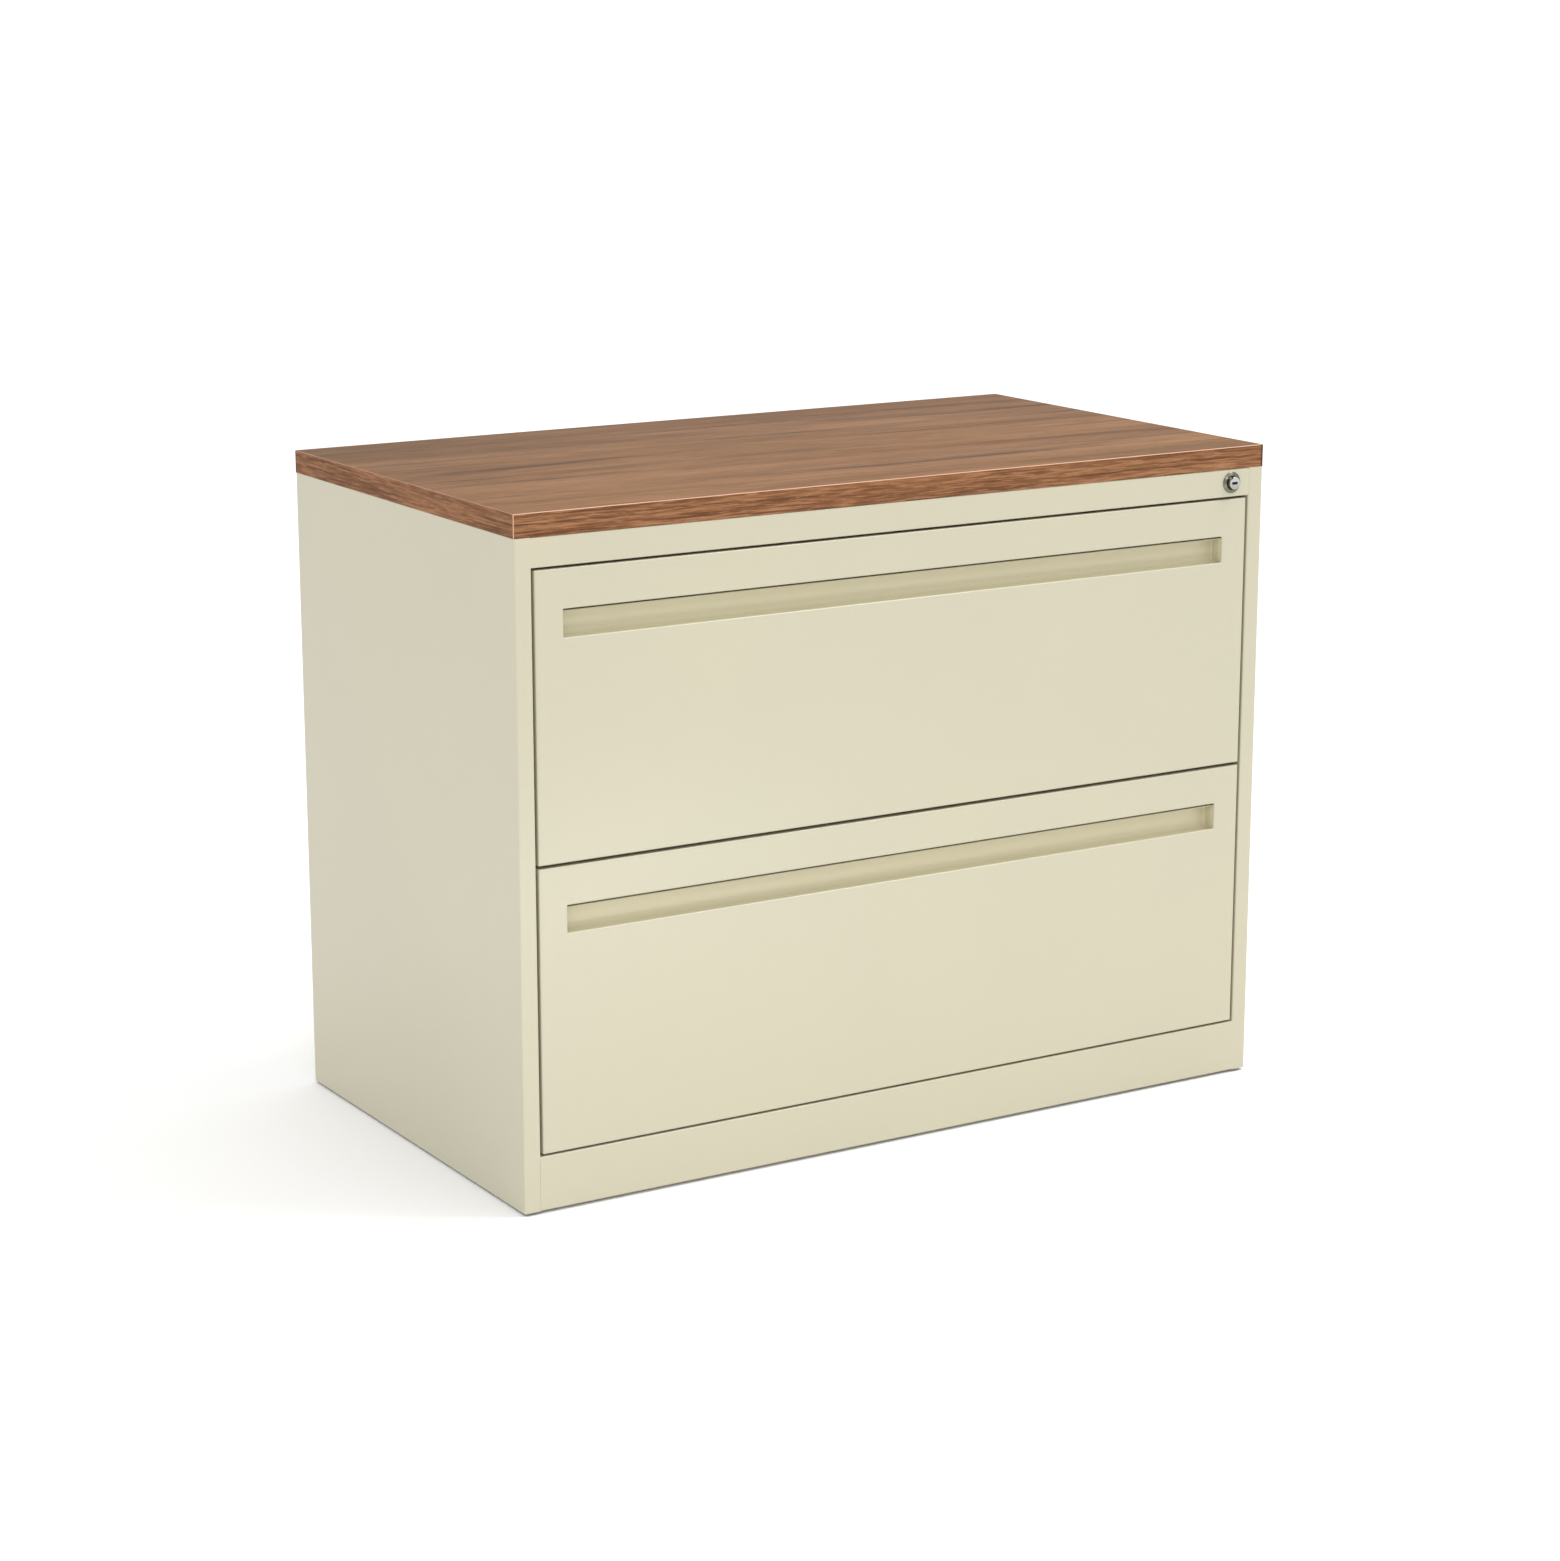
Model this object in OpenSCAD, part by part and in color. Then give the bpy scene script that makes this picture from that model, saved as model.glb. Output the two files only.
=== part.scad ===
// Two-drawer lateral file cabinet: a folded sheet-steel case under a wood-grain laminate worktop.
// Millimetres. X runs along the width, +Y to the back, +Z up.
// The origin is on the floor, under the middle of the worktop.

/* [Overall size] */
// Width of the case and the worktop
overall_w = 914.4; // [760:0.1:1070]
// Depth from the drawer fronts to the back panel
overall_d = 508; // [470:0.1:560]
// Height from the floor to the top of the worktop
overall_h = 711.2; // [690:0.1:760]

/* [Worktop] */
// Thickness of the laminated board
worktop_t = 24; // [18:0.5:32]
// Thickness of the edge bands
band_t = 1.2; // [0.5:0.1:3]

/* [Case] */
// Sheet thickness of the case and the drawers
sheet = 1; // [0.8:0.1:1.5]
// Outside radius of the visible bends
bend_r = 1.8; // [1.2:0.1:3]
// Width of the stiles beside the drawers
stile_w = 18.7; // [16:0.1:25]
// Depth of the stile's folded inner edge
stile_return = 18; // [10:0.5:20]
// Height of the base panel's top edge over the floor
base_top = 60.2; // [40:0.1:90]
// Gap between the case and the floor
floor_gap = 3; // [2:0.5:8]
// Height of the rail that holds the lock
rail_h = 30.2; // [28:0.1:45]
// Depth of the rail's folded edges
rail_depth = 16; // [10:0.5:17]
// Seam at each end of the rail and of the base panel
seam = 0.4; // [0.2:0.1:1]
// Height of the floor pan
pan_z = 16; // [12:1:30]

/* [Uprights] */
// Width of an upright, front to back
upright_w = 30; // [24:1:40]
// Distance from the case front to the front uprights
upright_front = 32; // [30:1:60]
// Distance from the case front to the rear uprights
upright_rear = 425; // [350:1:445]
// Pitch of the slots in the uprights
slot_pitch = 25; // [20:1:40]

/* [Drawer fronts] */
// Gap between a drawer front and the stile
front_gap = 3; // [2:0.1:5]
// Gap under the bottom drawer front
bottom_gap = 2; // [1:0.1:4]
// Gap between the two drawer fronts
middle_gap = 3.2; // [2:0.1:5]
// Gap over the top drawer front
top_gap = 2.4; // [1:0.1:5]
// Depth of the folded front
front_depth = 21; // [20:0.5:22]

/* [Recessed pulls] */
// Width of the recess
pull_w = 808; // [400:1:820]
// Height of the recess
pull_h = 28.2; // [24:0.1:40]
// Distance from the drawer front's top edge down to the recess
pull_drop = 40.5; // [25:0.1:80]
// Depth of the recess
pull_depth = 18; // [14:0.5:18.5]
// Finger room below and behind the recess's bottom edge
pull_trough = 11; // [6:1:20]
// Shadow gap between the recess's top edge and the pocket
pull_gap = 1.6; // [0.5:0.1:3]

/* [Drawer bodies] */
// Height of the drawer sides
tub_h = 240; // [150:1:260]
// Height of the tub over the bottom edge of the front
tub_lift = 12; // [8:1:30]
// Distance from the case front to the back of the tub
tub_back = 478; // [400:1:480]
// Width of the folded edges of the tub
tub_flange = 10; // [6:1:16]
// Distance between the two rails for hanging folders
hang_span = 385; // [300:1:395]
// Height of a hanging rail
hang_h = 16; // [12:1:25]
// Thickness of a hanging rail
hang_t = 3; // [2:0.5:5]

/* [Slides] */
// Length of the slide members
slide_len = 457.2; // [400:0.1:460]
// Distance the drawers pull out
travel = 431.8; // [300:0.1:440]
// Thickness of a slide, from the upright to the drawer side
slide_t = 12.7; // [12.7:0.1:19.1]
// Height of the slide's outer member
slide_h = 45.6; // [40:0.1:60]
// Sheet thickness of the slide members
slide_sheet = 1.2; // [1:0.1:1.6]
// Diameter of the slide balls
ball_d = 3.2; // [3:0.1:5]
// Height of the slide's centre over the bottom edge of the drawer front
slide_z = 110; // [60:1:160]
// Balls in each row
balls = 6; // [4:1:12]

/* [Lock] */
// Distance of the lock from the middle of the case
lock_x = 414.7; // [380:0.1:425]
// Height of the lock over the bottom edge of the rail
lock_rise = 15.7; // [12:0.1:25]
// Diameter of the lock's round face
lock_face_d = 23; // [20:0.1:30]
// Thickness of the lock's round face
lock_face_t = 2.4; // [1:0.1:5]
// Diameter of the lock's threaded barrel
lock_barrel_d = 18.6; // [16:0.1:22]
// Diameter of the turning plug
lock_plug_d = 13.6; // [12:0.1:14.6]
// Distance from the lock's axis to the pin on its cam
cam_r = 10; // [8:0.5:12]
// Diameter of the pin on the cam
cam_pin_d = 4; // [3:0.1:5]

/* [Glides] */
// Diameter of a glide's foot
glide_d = 32; // [25:1:45]
// Diameter of a glide's stem
glide_stem_d = 9.5; // [8:0.5:12]
// Distance of the glides from the case's corners
glide_inset = 52; // [45:1:80]

/* [Counterweight] */
// Length of the steel counterweight
weight_len = 620; // [300:10:700]
// Depth of the counterweight
weight_w = 60; // [40:1:80]
// Height of the counterweight
weight_h = 25; // [15:1:30]

/* [Hidden] */
$fn = 48;
front_y = -overall_d / 2;
back_y = overall_d / 2;
side_x = overall_w / 2;
case_top = overall_h - worktop_t;
opening_x = side_x - stile_w;
rail_z = case_top - rail_h;
front_half = opening_x - front_gap;
front_h = (rail_z - base_top - bottom_gap - middle_gap - top_gap) / 2;
pitch = front_h + middle_gap;
first_z = base_top + bottom_gap;
tub_half = opening_x - slide_t - 0.3;
slide_front = 24;
lock_z = rail_z + lock_rise;
bar_y = 24;
bar_t = 2.5;
bar_w = 12;
bar_x = opening_x + 2.5;
cam_y = 18.4;
cam_t = 2;
slack = 0.8;
hook_z = 218;
hook_h = 14;
screw_d = 4;
gusset_w = 100;
gusset_t = 2.5;
gusset_z = pan_z - gusset_t;
screw_steps = [30, 120, 215];
bolt_x = [-weight_len / 3, 0, weight_len / 3];

// A block between two corners, with Y measured back from the case front.
module block(low, high) {
    translate([low[0], front_y + low[1], low[2]])
        cube(high - low);
}

// The same thing on the right and, mirrored, on the left.
module both_sides() {
    children();
    mirror([1, 0, 0]) children();
}

// A round bar along Y, starting at a depth behind the case front.
module rod_y(x, depth, z, d, len) {
    translate([x, front_y + depth, z])
        rotate([-90, 0, 0])
            cylinder(d = d, h = len);
}

// A rectangle whose two front corners are rounded.
module rounded_front(half, depth, r) {
    translate([-half, r]) square([2 * half, depth - r]);
    translate([r - half, 0]) square([2 * (half - r), r]);
    for (x = [r - half, half - r]) translate([x, r]) circle(r);
}

// A block whose four front edges are rounded.
module pillow(half, depth, h, r) {
    intersection() {
        linear_extrude(h) rounded_front(half, depth, r);
        translate([-half, 0, h / 2])
            rotate([0, 90, 0])
                linear_extrude(2 * half) rounded_front(h / 2, depth, r);
    }
}

// A folded pan, open at the back.
module pan(half, depth, h, r, t) {
    difference() {
        pillow(half, depth, h, r);
        translate([0, t, t]) pillow(half - t, depth, h - 2 * t, r - t);
    }
}

function drawer_z(row) = first_z + row * pitch;

// ---------- case ----------

module side_panel_plan() {
    intersection() {
        union() {
            translate([side_x - sheet, front_y]) square([sheet, overall_d - sheet]);
            translate([opening_x, front_y]) square([stile_w, sheet]);
            translate([opening_x, front_y]) square([sheet, stile_return]);
            translate([opening_x + 4, back_y - 2 * sheet]) square([stile_w - 4, sheet]);
        }
        translate([0, front_y]) rounded_front(side_x, overall_d, bend_r);
    }
}

module side_panel() {
    color("#d9d3ba") {
        translate([0, 0, floor_gap])
            linear_extrude(case_top - floor_gap) side_panel_plan();
        block([opening_x + 3, stile_return + 2, case_top - sheet],
              [side_x - sheet / 2, overall_d - 4, case_top]);
        block([opening_x + 3, stile_return + 2, floor_gap],
              [side_x - sheet / 2, overall_d - 4, floor_gap + sheet]);
    }
}

module left_side_panel() {
    mirror([1, 0, 0]) side_panel();
}

module right_side_panel() {
    side_panel();
}

module back_panel() {
    half = side_x - 2;
    color("#cfc9b0") {
        block([-half, overall_d - sheet, floor_gap], [half, overall_d, case_top]);
        for (z = [floor_gap, case_top - 2 * sheet])
            block([-half + 22, overall_d - 14, z], [half - 22, overall_d - sheet / 2, z + sheet]);
    }
}

module case_top_panel() {
    half = opening_x + 2;
    z = case_top - sheet;
    color("#cfc9b0") difference() {
        block([-half, rail_depth + 2, z], [half, overall_d - sheet, case_top]);
        at_worktop_screws() cylinder(d = screw_d + 0.6, h = 10, center = true);
    }
}

module at_worktop_screws() {
    for (x = [-opening_x + 50, 0, opening_x - 50])
        for (depth = [80, overall_d - 80])
            translate([x, front_y + depth, case_top]) children();
}

module case_floor_pan() {
    half = opening_x + 2;
    color("#c4bfa8") difference() {
        union() {
            block([-half, rail_depth + 2, pan_z], [half, overall_d - sheet, pan_z + sheet]);
            block([-half, overall_d - 2 * sheet, pan_z], [half, overall_d - sheet, pan_z + 30]);
        }
        at_weight_bolts() cylinder(d = 8.6, h = 20, center = true);
        at_glides() cylinder(d = 26, h = 60, center = true);
    }
}

module top_rail() {
    half = opening_x - seam;
    color("#d9d3ba") difference() {
        block([-half, 0, rail_z], [half, rail_depth, case_top]);
        block([-half - 1, sheet, rail_z + sheet], [half + 1, rail_depth + 1, case_top - sheet]);
        rod_y(lock_x, -5, lock_z, lock_barrel_d + 0.6, 15);
        block([lock_x - 15, 6, rail_z + 2], [half + 1, rail_depth + 1, case_top + 1]);
    }
}

module base_front_panel() {
    half = opening_x - seam;
    color("#d9d3ba") difference() {
        block([-half, 0, floor_gap], [half, rail_depth, base_top]);
        block([-half - 1, sheet, floor_gap + sheet], [half + 1, rail_depth + 1, base_top - sheet]);
    }
}

module upright(depth) {
    low_z = pan_z + sheet;
    high_z = case_top - sheet;
    color("#b9b6a6") difference() {
        block([opening_x, depth, low_z], [side_x - sheet, depth + upright_w, high_z]);
        block([opening_x + 1.5, depth + 1.5, low_z - 1],
              [side_x, depth + upright_w - 1.5, high_z + 1]);
        for (z = [low_z + 20 : slot_pitch : high_z - 20])
            block([opening_x - 1, depth + 12, z], [opening_x + 2, depth + 15, z + 10]);
    }
}

module uprights() {
    upright(upright_front);
    upright(upright_rear);
}

module left_uprights() {
    mirror([1, 0, 0]) uprights();
}

module right_uprights() {
    uprights();
}

module at_glides() {
    for (x = [-1, 1])
        for (y = [-1, 1])
            translate([x * (side_x - glide_inset), y * (overall_d / 2 - glide_inset), 0])
                children();
}

module corner_gussets() {
    from_corner = 21 + gusset_w / 2;
    color("#8f8f8a") difference() {
        for (x = [-1, 1])
            for (y = [-1, 1])
                translate([x * (side_x - from_corner), y * (overall_d / 2 - from_corner), pan_z])
                    translate([-gusset_w / 2, -gusset_w / 2, -gusset_t])
                        cube([gusset_w, gusset_w, gusset_t]);
        at_glides() cylinder(d = glide_stem_d + 1, h = 60, center = true);
    }
}

module at_weight_bolts() {
    for (x = bolt_x)
        translate([x, back_y - 20 - weight_w / 2, pan_z]) children();
}

module counterweight() {
    color("#56585a") difference() {
        translate([-weight_len / 2, back_y - 20 - weight_w, pan_z + sheet])
            cube([weight_len, weight_w, weight_h]);
        at_weight_bolts() cylinder(d = 8.6, h = 100, center = true);
    }
}

module counterweight_bolts() {
    top_z = sheet + weight_h;
    color("#9a9c9e") at_weight_bolts() {
        translate([0, 0, -6]) cylinder(d = 8, h = top_z + 6);
        translate([0, 0, top_z]) cylinder(d = 14, h = 5.3, $fn = 6);
        translate([0, 0, -6.5]) cylinder(d = 15, h = 6.5, $fn = 6);
    }
}

// ---------- worktop ----------

module worktop() {
    color("#8c6a50") difference() {
        block([-side_x + band_t, band_t, case_top],
              [side_x - band_t, overall_d - band_t, overall_h]);
        at_worktop_screws() cylinder(d = screw_d, h = 32, center = true);
    }
}

module front_edge_band() {
    color("#9c6b4c") block([-side_x, 0, case_top], [side_x, band_t, overall_h]);
}

module rear_edge_band() {
    color("#9c6b4c")
        block([-side_x, overall_d - band_t, case_top], [side_x, overall_d, overall_h]);
}

module side_edge_bands() {
    color("#9c6b4c") both_sides()
        block([side_x - band_t, band_t, case_top], [side_x, overall_d - band_t, overall_h]);
}

module worktop_screws() {
    color("#a8aaac") at_worktop_screws() {
        translate([0, 0, -sheet]) cylinder(d = screw_d, h = 15);
        translate([0, 0, -sheet - 2.5]) cylinder(d = 9, h = 2.5);
    }
}

// ---------- lock ----------

module lock_housing() {
    color("#c9c9c4") difference() {
        union() {
            rod_y(lock_x, -lock_face_t, lock_z, lock_face_d, lock_face_t);
            rod_y(lock_x, -1, lock_z, lock_barrel_d, 18);
        }
        rod_y(lock_x, -6, lock_z, lock_plug_d + 0.12, 30);
    }
}

module lock_nut() {
    color("#b5b5b0") difference() {
        translate([lock_x, front_y + sheet, lock_z])
            rotate([-90, 0, 0])
                cylinder(d = 24, h = 4, $fn = 6);
        rod_y(lock_x, -1, lock_z, lock_barrel_d, 10);
    }
}

module lock_plug() {
    color("#d4d4ce") difference() {
        rod_y(lock_x, -lock_face_t - 0.3, lock_z, lock_plug_d, cam_y + lock_face_t + 0.3);
        translate([lock_x, front_y, lock_z])
            translate([-4.2, -lock_face_t - 1, -0.9]) cube([8.4, 12, 1.8]);
        translate([lock_x, front_y, lock_z])
            rotate([0, 45, 0])
                translate([-1.2, -lock_face_t - 1, 3.4]) cube([2.4, 2, 6]);
        rod_y(lock_x, 10, lock_z, 4.6, 20);
    }
}

module lock_cam() {
    turn = -45;
    color("#b0b2b4") translate([lock_x, front_y + cam_y, lock_z]) rotate([-90, 0, 0]) difference() {
        union() {
            cylinder(d = 13.4, h = cam_t);
            rotate([0, 0, -turn]) translate([0, -3.5, 0]) cube([cam_r, 7, cam_t]);
            rotate([0, 0, -turn]) translate([cam_r, 0, 0]) cylinder(d = 7, h = cam_t);
            rotate([0, 0, -turn]) translate([cam_r, 0, 0]) cylinder(d = cam_pin_d, h = 10);
        }
        translate([0, 0, -1]) cylinder(d = 4.6, h = 5);
    }
}

module lock_cam_screw() {
    color("#9a9c9e") {
        rod_y(lock_x, 11, lock_z, 4.5, cam_y + cam_t - 11 + 0.5);
        rod_y(lock_x, cam_y + cam_t, lock_z, 8.5, 2.4);
    }
}

// The flat bar that the cam lifts, with an arm that reaches over to the lock.
module lock_bar() {
    pin_x = lock_x + cam_r * cos(45);
    pin_z = lock_z - cam_r * sin(45);
    slot_h = cam_pin_d + 2 * slack;
    arm_h = slot_h + 5;
    color("#a8aaac") difference() {
        union() {
            block([bar_x, bar_y, base_top + 60], [bar_x + bar_w, bar_y + bar_t, pin_z + arm_h / 2]);
            block([pin_x - 6, bar_y, pin_z - arm_h / 2],
                  [bar_x + 1, bar_y + bar_t, pin_z + arm_h / 2]);
        }
        block([pin_x - 2.8, bar_y - 1, pin_z - slot_h / 2],
              [pin_x + 6.6, bar_y + bar_t + 1, pin_z + slot_h / 2]);
    }
}

module lock_hooks() {
    reach_x = tub_half + 3.4;
    color("#8f9194") for (row = [0, 1]) {
        z = drawer_z(row) + hook_z;
        block([reach_x, bar_y + bar_t, z], [bar_x + bar_w, bar_y + bar_t + 2, z + hook_h]);
    }
}

module lock_bar_guides() {
    color("#c4c4bc") for (z = [130, 330, 480]) difference() {
        block([opening_x + 1, bar_y - 2.4, z], [side_x - sheet, bar_y + bar_t + 2.2, z + 14]);
        block([bar_x - 0.5, bar_y - 0.5, z - 1], [bar_x + bar_w + 0.5, bar_y + bar_t + 0.5, z + 15]);
    }
}

// ---------- glides ----------

module glide(x, y) {
    color("#77797b")
        translate([x * (side_x - glide_inset), y * (overall_d / 2 - glide_inset), 0]) {
            cylinder(d1 = glide_d - 3, d2 = glide_d, h = 1.5);
            translate([0, 0, 1.5]) cylinder(d = glide_d, h = 3);
            translate([0, 0, 4.5]) cylinder(d = 18, h = gusset_z - 4.5 - 0.4, $fn = 6);
            cylinder(d = glide_stem_d, h = 42);
        }
}

module front_left_glide() {
    glide(-1, -1);
}

module front_right_glide() {
    glide(1, -1);
}

module rear_left_glide() {
    glide(-1, 1);
}

module rear_right_glide() {
    glide(1, 1);
}

module glide_nuts() {
    color("#9a9c9e") at_glides()
        translate([0, 0, gusset_z + gusset_t]) difference() {
            cylinder(d = 20, h = 9, $fn = 6);
            translate([0, 0, -1]) cylinder(d = glide_stem_d + 0.7, h = 20);
        }
}

// ---------- slides ----------

// A channel across the slide: its web at web_x, its edges reaching out to tip_x.
module channel(web_x, tip_x, h, t, y0, len) {
    low_x = min(web_x, tip_x);
    high_x = max(web_x, tip_x);
    inner_low = web_x < tip_x ? low_x + t : low_x - 1;
    inner_high = web_x < tip_x ? high_x + 1 : high_x - t;
    difference() {
        translate([low_x, y0, -h / 2]) cube([high_x - low_x, len, h]);
        translate([inner_low, y0 - 1, t - h / 2])
            cube([inner_high - inner_low, len + 2, h - 2 * t]);
    }
}

// Places a slide seen from the upright inwards: its X is the depth from the upright's face.
module at_slide(row) {
    both_sides()
        translate([opening_x, front_y, drawer_z(row) + slide_z])
            mirror([1, 0, 0]) children();
}

module slide_outer(row) {
    color("#b3b5b6") at_slide(row)
        channel(0, 9.4, slide_h, slide_sheet, slide_front, slide_len);
}

module slide_middle(row) {
    h = slide_h - 2 * slide_sheet - 2 * ball_d - 1.2;
    color("#bcbec0") at_slide(row)
        channel(2.4, 11, h, slide_sheet, slide_front + 1, slide_len - 6);
}

module slide_inner(row) {
    h = slide_h - 4 * slide_sheet - 4 * ball_d - 2.4;
    color("#c2c4c6") difference() {
        at_slide(row)
            channel(slide_t + 0.3, 5, h, slide_sheet, slide_front + 1, slide_len - 6);
        at_drawer_screws(row) cylinder(d = screw_d + 0.6, h = 40, center = true);
    }
}

// The rubber stops at the back of the outer members.
module slide_bumpers(row) {
    color("#3a3a3a") at_slide(row)
        translate([slide_sheet, slide_front + slide_len - 4.5, -14]) cube([7.2, 4.5, 28]);
}

// Two rows of balls held in a thin cage, level is the height of the balls' centres.
module ball_cage(row, web_x, level) {
    len = slide_len - travel / 2 - 14;
    y0 = slide_front + travel / 4 + 5;
    ball_x = 6.6;
    step = (len - 20) / (balls - 1);
    color("#9aa0a4") at_slide(row) {
        difference() {
            channel(web_x, 8.8, 2 * level + 0.6, 0.6, y0, len);
            for (k = [0 : balls - 1])
                translate([ball_x, y0 + 10 + k * step, 0])
                    cylinder(d = ball_d + 0.4, h = 60, center = true);
        }
        for (k = [0 : balls - 1])
            for (z = [-level, level])
                translate([ball_x, y0 + 10 + k * step, z]) sphere(d = ball_d);
    }
}

module outer_ball_cages(row) {
    ball_cage(row, 1.5, slide_h / 2 - slide_sheet - ball_d / 2 - 0.3);
}

module inner_ball_cages(row) {
    ball_cage(row, 4, slide_h / 2 - 2 * slide_sheet - 1.5 * ball_d - 0.9);
}

// ---------- drawers ----------

module at_drawer_screws(row) {
    both_sides()
        for (depth = screw_steps)
            translate([tub_half, front_y + slide_front + depth, drawer_z(row) + slide_z])
                rotate([0, 90, 0]) children();
}

module drawer_front(row) {
    z = drawer_z(row);
    recess_top = z + front_h - pull_drop;
    color("#dfd9c0") difference() {
        translate([0, front_y, z]) pan(front_half, front_depth, front_h, bend_r, sheet);
        block([-pull_w / 2, -1, recess_top - pull_h], [pull_w / 2, 3, recess_top]);
    }
}

module pull_pocket(row) {
    half = pull_w / 2;
    recess_top = drawer_z(row) + front_h - pull_drop;
    top_z = recess_top - pull_gap;
    low_z = recess_top - pull_h - pull_trough;
    color("#cbbf9c") difference() {
        block([-half - sheet, sheet, low_z - sheet],
              [half + sheet, pull_depth + sheet, top_z]);
        block([-half, 0, low_z], [half, pull_depth, top_z - sheet]);
    }
}

module front_liner(row) {
    half = front_half - sheet - 0.2;
    low_z = drawer_z(row) + sheet + 0.2;
    high_z = drawer_z(row) + front_h - sheet - 0.2;
    color("#cfc9b0")
        block([-half, front_depth - sheet, low_z], [half, front_depth, high_z]);
}

module tub_bottom(row) {
    z = drawer_z(row) + tub_lift;
    half = tub_half - sheet;
    color("#cfc9b0") difference() {
        block([-half, front_depth, z - tub_flange], [half, tub_back - sheet, z + sheet]);
        block([-half - 1, front_depth + sheet, z - tub_flange - 1],
              [half + 1, tub_back - 2 * sheet, z]);
    }
}

// A side's top edge is folded over into a hem.
module tub_sides(row) {
    z = drawer_z(row) + tub_lift;
    hem = tub_half - 2 * sheet;
    color("#cfc9b0") difference() {
        both_sides() {
            block([tub_half - sheet, front_depth, z - tub_flange], [tub_half, tub_back, z + tub_h]);
            block([hem, front_depth, z + tub_h - tub_flange],
                  [tub_half - sheet / 2, tub_back - 2 * sheet, z + tub_h]);
        }
        at_drawer_screws(row) cylinder(d = screw_d + 0.6, h = 40, center = true);
    }
}

module tub_back_wall(row) {
    z = drawer_z(row) + tub_lift;
    half = tub_half - sheet;
    color("#cfc9b0") {
        block([-half, tub_back - sheet, z - tub_flange], [half, tub_back, z + tub_h]);
        block([-half, tub_back - 2 * sheet, z + tub_h - tub_flange],
              [half, tub_back - sheet / 2, z + tub_h]);
    }
}

module hang_rails(row) {
    top_z = drawer_z(row) + tub_lift + tub_h - tub_flange;
    half = tub_half - sheet;
    first = 45;
    color("#9fa1a3") for (depth = [first, first + hang_span])
        block([-half, depth, top_z - hang_h], [half, depth + hang_t, top_z]);
}

module lock_catch(row) {
    z = drawer_z(row) + hook_z + hook_h + 1.2;
    depth = bar_y + bar_t + 2 + 2;
    color("#8f9194") {
        block([tub_half, depth, z], [tub_half + 1.6, depth + 26, z + hook_h - 2]);
        block([tub_half, depth, z], [opening_x - 3.6, depth + 2, z + hook_h - 2]);
    }
}

module drawer_screws(row) {
    color("#a8aaac") at_drawer_screws(row) {
        translate([0, 0, -sheet - 2]) cylinder(d = screw_d, h = 5);
        translate([0, 0, -sheet - 2.2]) cylinder(d = 8, h = 2.2);
    }
}

left_side_panel();
right_side_panel();
back_panel();
case_top_panel();
case_floor_pan();
top_rail();
base_front_panel();
left_uprights();
right_uprights();
corner_gussets();
counterweight();
counterweight_bolts();
worktop();
front_edge_band();
rear_edge_band();
side_edge_bands();
worktop_screws();
lock_housing();
lock_nut();
lock_plug();
lock_cam();
lock_cam_screw();
lock_bar();
lock_hooks();
lock_bar_guides();
front_left_glide();
front_right_glide();
rear_left_glide();
rear_right_glide();
glide_nuts();
slide_outer(1);  // top_slide_outer
slide_middle(1);  // top_slide_middle
slide_inner(1);  // top_slide_inner
outer_ball_cages(1);  // top_outer_ball_cages
inner_ball_cages(1);  // top_inner_ball_cages
slide_outer(0);  // bottom_slide_outer
slide_middle(0);  // bottom_slide_middle
slide_inner(0);  // bottom_slide_inner
outer_ball_cages(0);  // bottom_outer_ball_cages
inner_ball_cages(0);  // bottom_inner_ball_cages
drawer_front(1);  // top_drawer_front
pull_pocket(1);  // top_pull_pocket
front_liner(1);  // top_front_liner
tub_bottom(1);  // top_tub_bottom
tub_sides(1);  // top_tub_sides
tub_back_wall(1);  // top_tub_back
hang_rails(1);  // top_hang_rails
lock_catch(1);  // top_lock_catch
drawer_screws(1);  // top_drawer_screws
slide_bumpers(1);  // top_slide_bumpers
drawer_front(0);  // bottom_drawer_front
pull_pocket(0);  // bottom_pull_pocket
front_liner(0);  // bottom_front_liner
tub_bottom(0);  // bottom_tub_bottom
tub_sides(0);  // bottom_tub_sides
tub_back_wall(0);  // bottom_tub_back
hang_rails(0);  // bottom_hang_rails
lock_catch(0);  // bottom_lock_catch
drawer_screws(0);  // bottom_drawer_screws
slide_bumpers(0);  // bottom_slide_bumpers
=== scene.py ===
import math

import bmesh
import bpy
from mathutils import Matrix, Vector


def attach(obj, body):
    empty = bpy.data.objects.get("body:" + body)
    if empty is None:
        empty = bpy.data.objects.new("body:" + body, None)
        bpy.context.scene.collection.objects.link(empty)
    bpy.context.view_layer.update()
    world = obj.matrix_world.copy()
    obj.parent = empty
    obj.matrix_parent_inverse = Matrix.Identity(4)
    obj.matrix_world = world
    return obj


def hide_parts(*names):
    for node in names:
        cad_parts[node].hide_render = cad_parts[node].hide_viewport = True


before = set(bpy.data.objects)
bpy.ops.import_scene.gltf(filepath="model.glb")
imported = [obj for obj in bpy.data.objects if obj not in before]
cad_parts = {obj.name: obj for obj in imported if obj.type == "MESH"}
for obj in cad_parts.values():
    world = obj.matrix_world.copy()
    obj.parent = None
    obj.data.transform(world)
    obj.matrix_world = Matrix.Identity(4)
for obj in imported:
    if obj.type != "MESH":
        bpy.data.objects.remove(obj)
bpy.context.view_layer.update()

# Blender measures in metres, and the sizes in this script are millimetres.
MM = 0.001

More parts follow.
